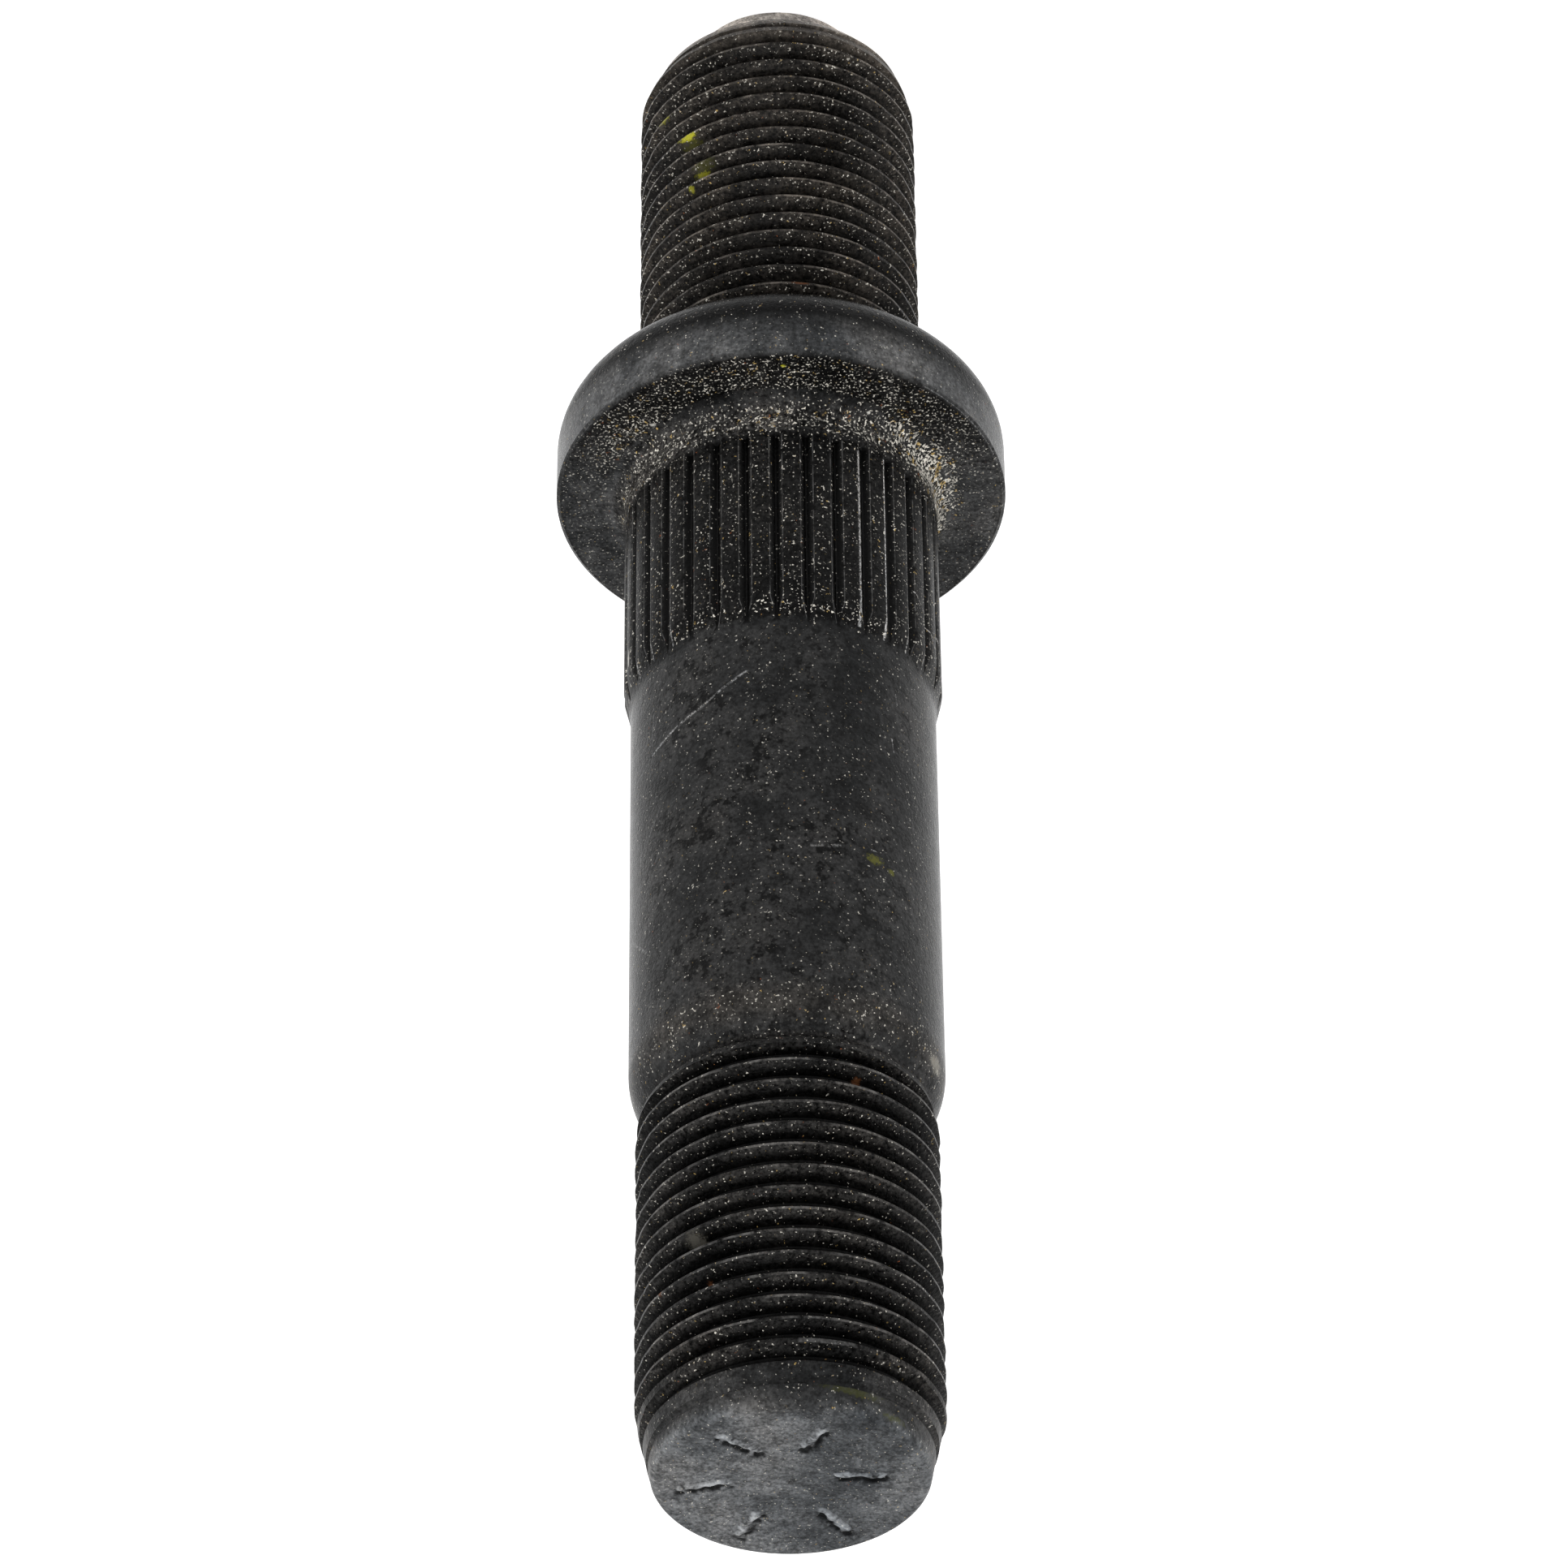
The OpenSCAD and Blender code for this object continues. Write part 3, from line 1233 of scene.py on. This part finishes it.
        # Scratches, together with painted highlight lines along serration and seat edges.
        marks = self.scratches(bench, around, along) * broken
        tone = tone + rubbed_and_highlight * bench.most(wear, 1.0) * self.crest_tone + marks * self.stroke_tone
        warmth = (tint + (broad - 0.5) * 2.4) * self.tint_step
        base = bench.vector(tone * (1.0 + warmth), tone, tone * (1.0 - warmth))
        thinned = 1.1 - bench.ramp(depth, 0.3, 0.8) * 0.8
        density = dust * (0.6 + bench.ramp(mottle, 0.30, 0.65) * 0.7) * thinned
        group = dab_group()

        def mask(dab: Dab, break_up: Num) -> Num:
            """Mask of one dab, with a noise that breaks its edge."""
            spot = {
                "Round": around, "Height": along, "Break-up": break_up,
                "At Round": math.radians(dab.deg) * self.ROUND_R, "At Height": dab.z,
                "Half Width": dab.half_w, "Half Height": dab.half_h,
            }
            return bench.get("ShaderNodeGroup", spot, node_tree=group) * dab.strength

        for drift in self.drifts:
            density = density + mask(drift, mottle)
        shown = self.dusted(bench, base, place, density)
        for dab in self.smudges:
            shown = bench.blend(mask(dab, grain), shown, dab.colour)
        height = grain + mottle * 1.2
        depth = self.bump_depth * MM
        relief = {"Height": height, "Strength": self.bump_strength, "Distance": depth}
        shine = bench.get("ShaderNodeBsdfPrincipled", {
            "Base Color": shown,
            "Roughness": roughness + (mottle - 0.5) * 0.25,
            "Specular IOR Level": self.specular,
            "Normal": bench.get("ShaderNodeBump", relief),
        })
        bench.add("ShaderNodeOutputMaterial", {"Surface": shine})
        return material


@dataclass(frozen=True)
class WheelStud:
    """The whole stud: turned stretches and rolled bands joined into one closed surface."""

    sizes: StudSizes
    finish: BlackSteel
    columns: Columns = Columns()
    marks: GradeMarks = GradeMarks()
    wheel_start: float = 0.06
    wheel_end_slope: float = 3.0
    drum_start: float = 0.52
    sharp_deg: float = 32.0
    weld: float = 0.002

    def build(self) -> Object:
        """Builds, joins and dresses the stud.

        Returns:
            The finished piece, not yet riding on a body.
        """
        s = self.sizes
        steel = self.finish.material()
        body = TurnedBody(s, self.columns, self.marks)
        spokes = self.columns.spokes(s.serration_r)
        shared = {"Spokes": spokes, "Columns": float(self.columns.count), "Finish": steel}
        edge_z = body.face_z - s.wheel_edge_r
        wheel = RolledThread(
            name="wheel_thread", neck_z=s.wheel_neck, end_z=edge_z, lead_drop=s.wheel_lead_drop,
            lead_len=edge_z - s.wheel_crest_top, end_slope=self.wheel_end_slope, start_turn=self.wheel_start,
        )
        drum = RolledThread(
            name="drum_thread", neck_z=s.drum_neck, end_z=s.drum_end, lead_drop=s.drum_lead_drop,
            lead_len=s.drum_lead_len, end_slope=s.drum_slope, start_turn=self.drum_start,
        )
        teeth = Serrations(self.columns)
        thread_tree = RolledThread.tree(wheel.inputs(s))
        pieces = [body.build(steel)]
        pieces += [thread.build(thread_tree, s, shared) for thread in (wheel, drum)]
        pieces.append(teeth.build(Serrations.tree(teeth.inputs(s)), s, shared))
        for piece in pieces:
            LOG.info("%s: %d faces", piece.name, len(piece.data.polygons))
        stud = self.join(pieces)
        bpy.data.objects.remove(spokes)
        return stud

    def join(self, pieces: list[Object]) -> Object:
        """Joins the stretches and welds the rings where they meet.

        Args:
            pieces: the stretches, the first of which becomes the stud.

        Returns:
            The welded stud.
        """
        stud = pieces[0]
        with bpy.context.temp_override(
            active_object=stud, object=stud, selected_objects=pieces, selected_editable_objects=pieces
        ):
            bpy.ops.object.join()
        stud.name = "stud_surface"
        stud.data.name = "stud_surface"
        work = bmesh.new()
        work.from_mesh(stud.data)
        bmesh.ops.remove_doubles(work, verts=work.verts, dist=self.weld * MM)
        loose = [v for v in work.verts if not v.link_faces]
        bmesh.ops.delete(work, geom=loose, context="VERTS")
        open_edges = [e for e in work.edges if len(e.link_faces) != 2]
        LOG.info("welded: %d faces, %d open edges", len(work.faces), len(open_edges))
        work.to_mesh(stud.data)
        work.free()
        stud.data.shade_smooth()
        stud.data.set_sharp_from_angle(angle=math.radians(self.sharp_deg))
        return stud


@dataclass(frozen=True)
class Lamp:
    """A soft square lamp that faces the stud, in metres and watts."""

    name: str
    place: tuple[float, float, float]
    size: float
    watts: float

    def build(self) -> None:
        """Hangs the lamp."""
        data = bpy.data.lights.new(self.name, "AREA")
        data.size = self.size
        data.energy = self.watts
        lamp = in_scene(self.name, data)
        lamp.location = self.place
        lamp.rotation_mode = "QUATERNION"
        lamp.rotation_quaternion = Vector(self.place).to_track_quat("Z", "Y")


@dataclass(frozen=True)
class Studio:
    """Pale floor, soft light from all round and the camera of the photograph."""

    floor_z: float
    aim_z: float = 24.0
    distance: float = 459.9
    elevation_deg: float = 38.2
    roll_deg: float = 179.41
    focal_px: float = 8736.2
    picture_px: float = 1932.0
    sensor_mm: float = 36.0
    floor_size: float = 6.0
    floor_tone: float = 0.8
    floor_glow: float = 0.68
    white: float = 1.0
    overhead: float = 0.2
    dim_from: float = 0.85
    white_to: float = 0.25
    sky: float = 0.6
    lamps: tuple[Lamp, ...] = (
        Lamp("lamp_front", (0.1, -0.6, 0.8), 0.5, 5.0),
        Lamp("lamp_left", (0.75, -0.1, 0.35), 0.6, 3.2),
        Lamp("lamp_right", (-0.75, -0.1, 0.35), 0.6, 3.0),
    )

    def camera(self) -> None:
        """Places the camera: it looks down on the wheel end, turned over as in the photograph."""
        data = bpy.data.cameras.new("camera")
        data.sensor_width = self.sensor_mm
        data.lens = self.focal_px / self.picture_px * self.sensor_mm
        data.clip_start = 0.01
        tilt = math.radians(self.elevation_deg)
        back = Vector((0.0, -math.cos(tilt), math.sin(tilt)))
        place = Vector((0.0, 0.0, self.aim_z * MM)) + back * self.distance * MM
        turn = back.to_track_quat("Z", "Y") @ Euler((0.0, 0.0, math.radians(self.roll_deg))).to_quaternion()
        camera = in_scene("camera", data)
        camera.matrix_world = Matrix.Translation(place) @ turn.to_matrix().to_4x4()
        bpy.context.scene.camera = camera

    def floor(self) -> None:
        """Makes the floor, white to the camera and to reflections, plain pale to the rest."""
        half, z = self.floor_size / 2, self.floor_z * MM
        mesh = bpy.data.meshes.new("floor")
        corners = [(-half, -half, z), (half, -half, z), (half, half, z), (-half, half, z)]
        mesh.from_pydata(corners, [], [(0, 1, 2, 3)])
        material = bpy.data.materials.new("pale_floor")
        bench = Bench.cleared(material)
        matt = bench.get("ShaderNodeBsdfDiffuse", {"Color": (*[self.floor_tone] * 3, 1.0)})
        white = {"Color": (1, 1, 1, 1), "Strength": bench.seen() * self.floor_glow}
        both = bench.get("ShaderNodeAddShader", {0: matt, 1: bench.get("ShaderNodeEmission", white)})
        bench.add("ShaderNodeOutputMaterial", {"Surface": both})
        mesh.materials.append(material)
        floor = in_scene("floor", mesh)

    def world(self) -> None:
        """Sets a soft room: white at eye level, where reflections meet it, and dim overhead."""
        world = bpy.data.worlds.new("soft_room")
        bench = Bench.cleared(world)
        _, _, down = bench.parts(bench.get("ShaderNodeNewGeometry", output="Incoming"))
        level = bench.ramp(down * -1.0, self.dim_from, self.white_to, smooth=True)
        glow = self.overhead + level * (self.white - self.overhead)
        glow = glow * (self.sky + bench.seen() * (1.0 - self.sky))
        sky = bench.get("ShaderNodeBackground", {"Color": (1, 1, 1, 1), "Strength": glow})
        bench.add("ShaderNodeOutputWorld", {"Surface": sky})
        bpy.context.scene.world = world

    def build(self) -> None:
        """Sets up the whole studio."""
        self.camera()
        self.floor()
        self.world()
        for lamp in self.lamps:
            lamp.build()
        bpy.context.scene.view_settings.view_transform = "Standard"


YELLOW = (0.46, 0.44, 0.03)
OLIVE = (0.10, 0.10, 0.02)
GREEN = (0.16, 0.17, 0.05)
PALE = (0.34, 0.32, 0.27)
RUST = (0.13, 0.05, 0.02)
CHIP = (0.62, 0.60, 0.55)

# Painted highlights along the serrations' edges: degrees round the axis, half width and strength.
TOOTH_EDGE_HIGHLIGHTS = (
    (-130.7, 0.13, 4.5),
    (-142.0, 0.09, 2.0),
    (-153.2, 0.09, 1.5),
    (-23.0, 0.10, 2.2),
    (-34.2, 0.09, 1.8),
    (-45.5, 0.09, 1.4),
)

STROKES = (
    Stroke(-76.5, 22.4, -59.0, 24.3, 0.14, 1.5),
    Stroke(-59.0, 24.3, -33.0, 25.8, 0.16, 1.5),
    Stroke(-33.0, 25.8, -21.0, 26.5, 0.08, 0.7),
    Stroke(-99.9, 36.65, -110.6, 36.3, 0.16, 0.7),
    Stroke(-134.0, 26.1, -134.8, 27.1, 0.07, 2.5),
    Stroke(-136.4, 22.1, -137.2, 23.0, 0.06, 1.6),
    Stroke(-122.9, 35.9, -125.6, 35.9, 0.07, 2.5),
    Stroke(-171.0, 14.6, -163.0, 11.4, 0.06, 2.0),
    Stroke(-146.0, 12.6, -164.0, 15.6, 0.05, 2.5),
    Stroke(-33.3, 22.0, -31.5, 27.0, 0.07, 0.6),
    Stroke(-36.0, 31.0, -19.0, 34.5, 0.06, 0.6),
    Stroke(-24.0, 32.0, -21.0, 36.5, 0.06, 0.7),
    Stroke(-29.0, 41.2, -14.0, 38.6, 0.16, 0.6),
    Stroke(-167.0, 31.0, -158.0, 25.5, 0.10, 0.5),
    # This line and the next are painted highlights along serration edges.
    Stroke(-119.5, 3.4, -119.5, 18.0, 0.18, 2.6),
    *(Stroke(deg, 3.2, deg, 18.2, half_w, strength) for deg, half_w, strength in TOOTH_EDGE_HIGHLIGHTS),
    # Painted highlight along the seat's outer edge, at both sides.
    Stroke(-130.0, -4.55, -168.0, -4.55, 0.09, 0.8),
    Stroke(-21.0, -4.55, -33.0, -4.55, 0.08, 0.4),
)

SMUDGES = (
    Dab(-49.5, -26.3, 1.1, 0.5, 0.45, OLIVE),
    Dab(-57.0, -23.6, 1.2, 0.5, 0.3, OLIVE),
    Dab(-49.6, -26.8, 0.9, 0.22, 0.85, YELLOW),
    Dab(-35.0, -30.0, 0.8, 0.2, 0.4, YELLOW),
    Dab(-58.8, -27.6, 0.28, 0.22, 0.7, YELLOW),
    Dab(-54.8, -23.2, 0.7, 0.2, 0.4, YELLOW),
    Dab(-50.9, -21.9, 0.3, 0.2, 0.4, YELLOW),
    Dab(-116.4, 76.2, 2.6, 0.35, 0.17, GREEN),
    Dab(-135.8, 76.9, 1.4, 0.3, 0.2, GREEN),
    Dab(-124.8, 36.6, 0.7, 0.45, 0.8, OLIVE),
    Dab(-132.1, 37.0, 0.35, 0.3, 0.8, OLIVE),
    Dab(-162.0, 48.8, 1.3, 0.6, 0.55, PALE),
    Dab(-105.7, 60.2, 0.4, 0.25, 0.7, RUST),
    Dab(-97.8, 65.0, 0.4, 0.3, 0.7, RUST),
    Dab(-104.0, 53.8, 0.6, 0.25, 0.6, RUST),
    Dab(-119.3, 53.4, 0.5, 0.3, 0.5, RUST),
    Dab(-34.5, 67.3, 0.3, 0.3, 0.7, RUST),
    Dab(-56.7, 68.0, 0.3, 0.25, 0.6, RUST),
    Dab(-98.5, -11.3, 0.9, 0.2, 0.6, RUST),
    Dab(-51.2, 64.7, 0.9, 0.7, 0.16, PALE),
    Dab(-91.1, -3.3, 0.16, 0.16, 0.9, YELLOW),
    Dab(-122.1, -0.3, 0.16, 0.18, 0.9, CHIP),
    Dab(-43.5, -1.2, 0.2, 0.26, 0.8, CHIP),
    Dab(-22.7, 8.4, 0.14, 0.7, 0.7, CHIP),
    Dab(-15.0, 15.6, 0.2, 0.8, 0.7, CHIP),
    Dab(-120.6, -3.7, 0.12, 0.12, 0.7, CHIP),
)

# The first two are one drift, across the seam where the angle starts again.
DRIFTS = (
    Dab(-168.0, 0.2, 7.0, 2.2, 1.4),
    Dab(192.0, 0.2, 7.0, 2.2, 1.4),
    Dab(-136.0, -0.4, 4.0, 1.5, 0.5),
    Dab(-32.0, -1.6, 4.0, 2.4, 0.35),
    Dab(-91.0, 1.6, 12.0, 0.8, 0.2),
    Dab(-95.0, 17.4, 11.0, 0.6, 0.35),
)


def black_finish(s: StudSizes) -> BlackSteel:
    """The stud's finish, with its zones and scars where the photograph shows them.

    Args:
        s: the stud's sizes.

    Returns:
        The finish.
    """
    far = 100.0
    rounded = -s.flange_t + s.flange_back_r
    rim_r = s.flange_r - s.seat_edge
    wheel_thread = Look(0.0145, 0.32, 0.34, 0.6, grit=1.0)
    drum_thread = Look(0.0165, 0.32, 0.46, 1.8, soot=0.5, grit=0.9)
    drum_lead = Look(0.045, 0.35, 0.35, 2.0, soot=0.5)
    wheel_lead = Look(0.031, 0.35, 0.24, 0.1, soot=0.95)
    pilot = Look(0.36, 0.35, 0.2, 1.2)
    shoulder = Look(0.026, 0.3, 0.48, 0.8)
    serration = Look(0.0062, 0.36, 0.45, 0.3, soot=1.0, grit=1.0)
    collar = Look(0.029, 0.45, 0.76, 0.5, grit=0.9)
    seat = Look(0.006, 0.5, 0.88, 0.3, grit=1.0)
    seat_sides = Look(0.060, 0.4, 0.42, -0.2)
    # Painted reflection bands: the rim lighter, the rounded back under it near black.
    rim_sheen = Look(0.067, 0.26, 0.26, -0.2)
    back = Look(0.004, 0.22, 0.25)
    end_face = Look(0.112, 0.4, 0.30, -0.5)
    zones = (
        Patch(s.wheel_neck, far, 0, far, wheel_thread),
        Patch(-far, s.drum_neck + 0.3, 0, far, drum_thread),
        Patch(-far, s.drum_crest_end + 0.2, 0, far, drum_lead, 0.4),
        Patch(s.top - 3.0, far, 0, far, wheel_lead, 0.9),
        Patch(-far, s.pilot_root + 1.6, 0, far, pilot, 0.5),
        Patch(s.wheel_neck - 3.0, s.wheel_neck - 0.9, 0, far, shoulder, 0.6),
        Patch(s.collar_end, s.serration_end + 1.5, 0, far, serration),
        Patch(0.35, s.collar_end, 0, 11.9, collar, 0.3),
        Patch(-0.1, 0.35, 11.6, rim_r, seat),
        Patch(-0.1, 0.5, 11.2, rim_r, seat_sides, from_y=-9.0, fade_y=8.0),
        # The rim's lighter band and the back's near-black band are painted reflections.
        Patch(rounded, -0.2, 9.6, far, rim_sheen),
        Patch(-s.flange_t - 0.4, rounded + 0.9, 9.4, far, back, 0.9),
        Patch(s.top - 0.75, far, 0, far, end_face, 0.4, from_y=-8.8, fade_y=1.8),
    )
    return BlackSteel(s.serration_r, zones, STROKES, SMUDGES, DRIFTS)


def main() -> None:
    """Builds the stud and the studio, in order."""
    logging.basicConfig(level=logging.INFO, format="%(name)s %(message)s")
    noise.seed_set(NOISE_SEED)
    sizes = StudSizes.from_frame(frame["record"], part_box(STUD_NODE))
    stud = WheelStud(sizes, black_finish(sizes)).build()
    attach(stud, "root")
    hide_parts(STUD_NODE)
    LOG.info("%s dressed", stud.name)
    Studio(floor_z=sizes.tip).build()
    LOG.info("studio ready")


if __name__ == "__main__":
    main()
